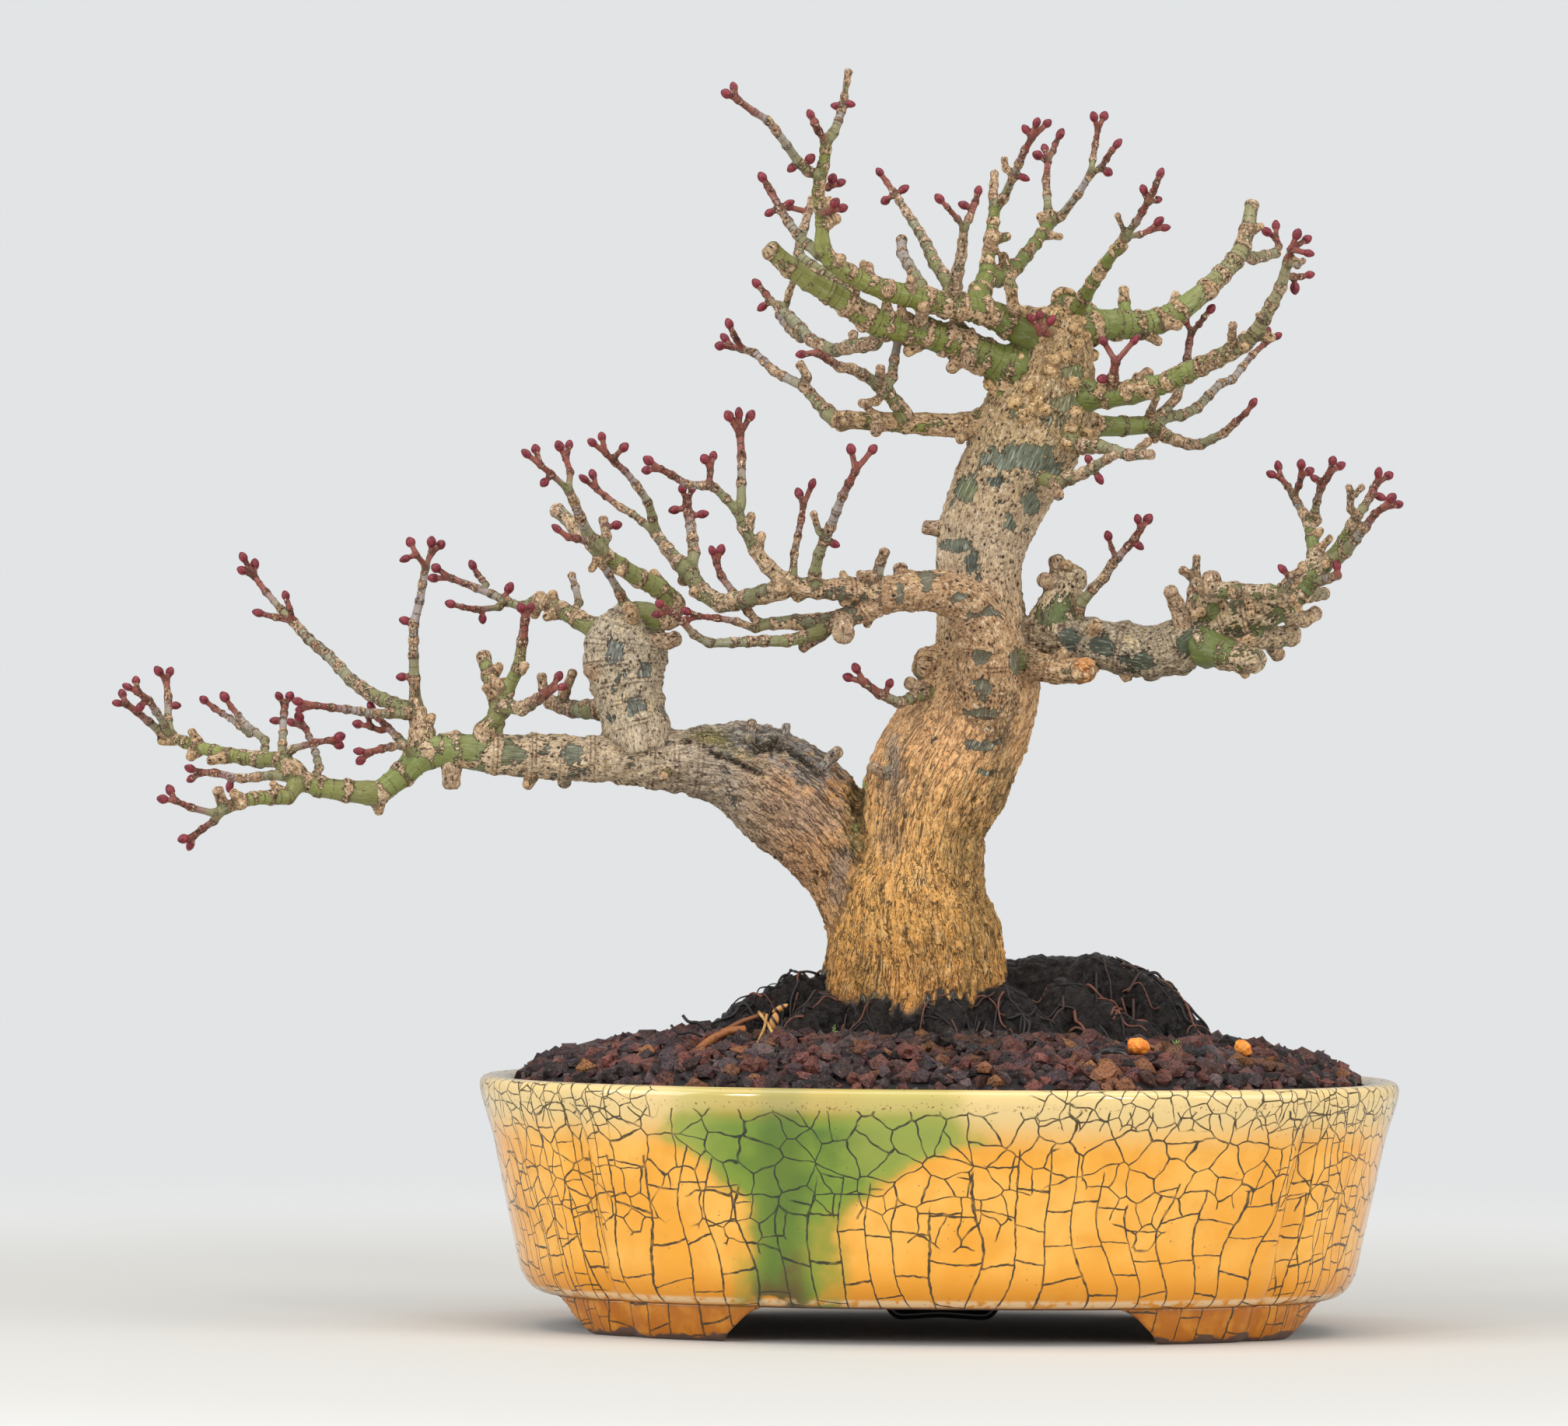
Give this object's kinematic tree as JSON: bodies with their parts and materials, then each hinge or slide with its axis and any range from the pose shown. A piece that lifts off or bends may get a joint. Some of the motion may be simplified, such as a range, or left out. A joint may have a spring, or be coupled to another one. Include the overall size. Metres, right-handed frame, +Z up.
{
  "type": "shishigashira japanese maple bonsai",
  "caption": "Leafless winter Japanese maple bonsai with a leaning trunk, a long low left stem and red buds, in a footed oblong pot with a yellow crackle glaze.",
  "frame": {"origin": "middle of the overall box at the level of the feet's flat undersides", "axes": "+Z up; X along the pot's long side, with the long low stem towards -X; -Y is the viewing front"},
  "size_m": [0.3317, 0.174, 0.3209],
  "materials": {
    "maple_bark": "rough",
    "crackle_glaze": "gloss",
    "lava_grit": "rough",
    "black_wire": "satin",
    "plastic_netting": "matte",
    "fertiliser_pellet": "satin"
  },
  "bodies": {
    "root": {"tree": "maple_bark", "pot": "crackle_glaze", "soil": "lava_grit", "anchor_wire": "black_wire", "mesh_clip": "black_wire", "drain_mesh": "plastic_netting", "fertiliser_pellet_1": "fertiliser_pellet", "fertiliser_pellet_2": "fertiliser_pellet"}
  },
  "joints": []
}
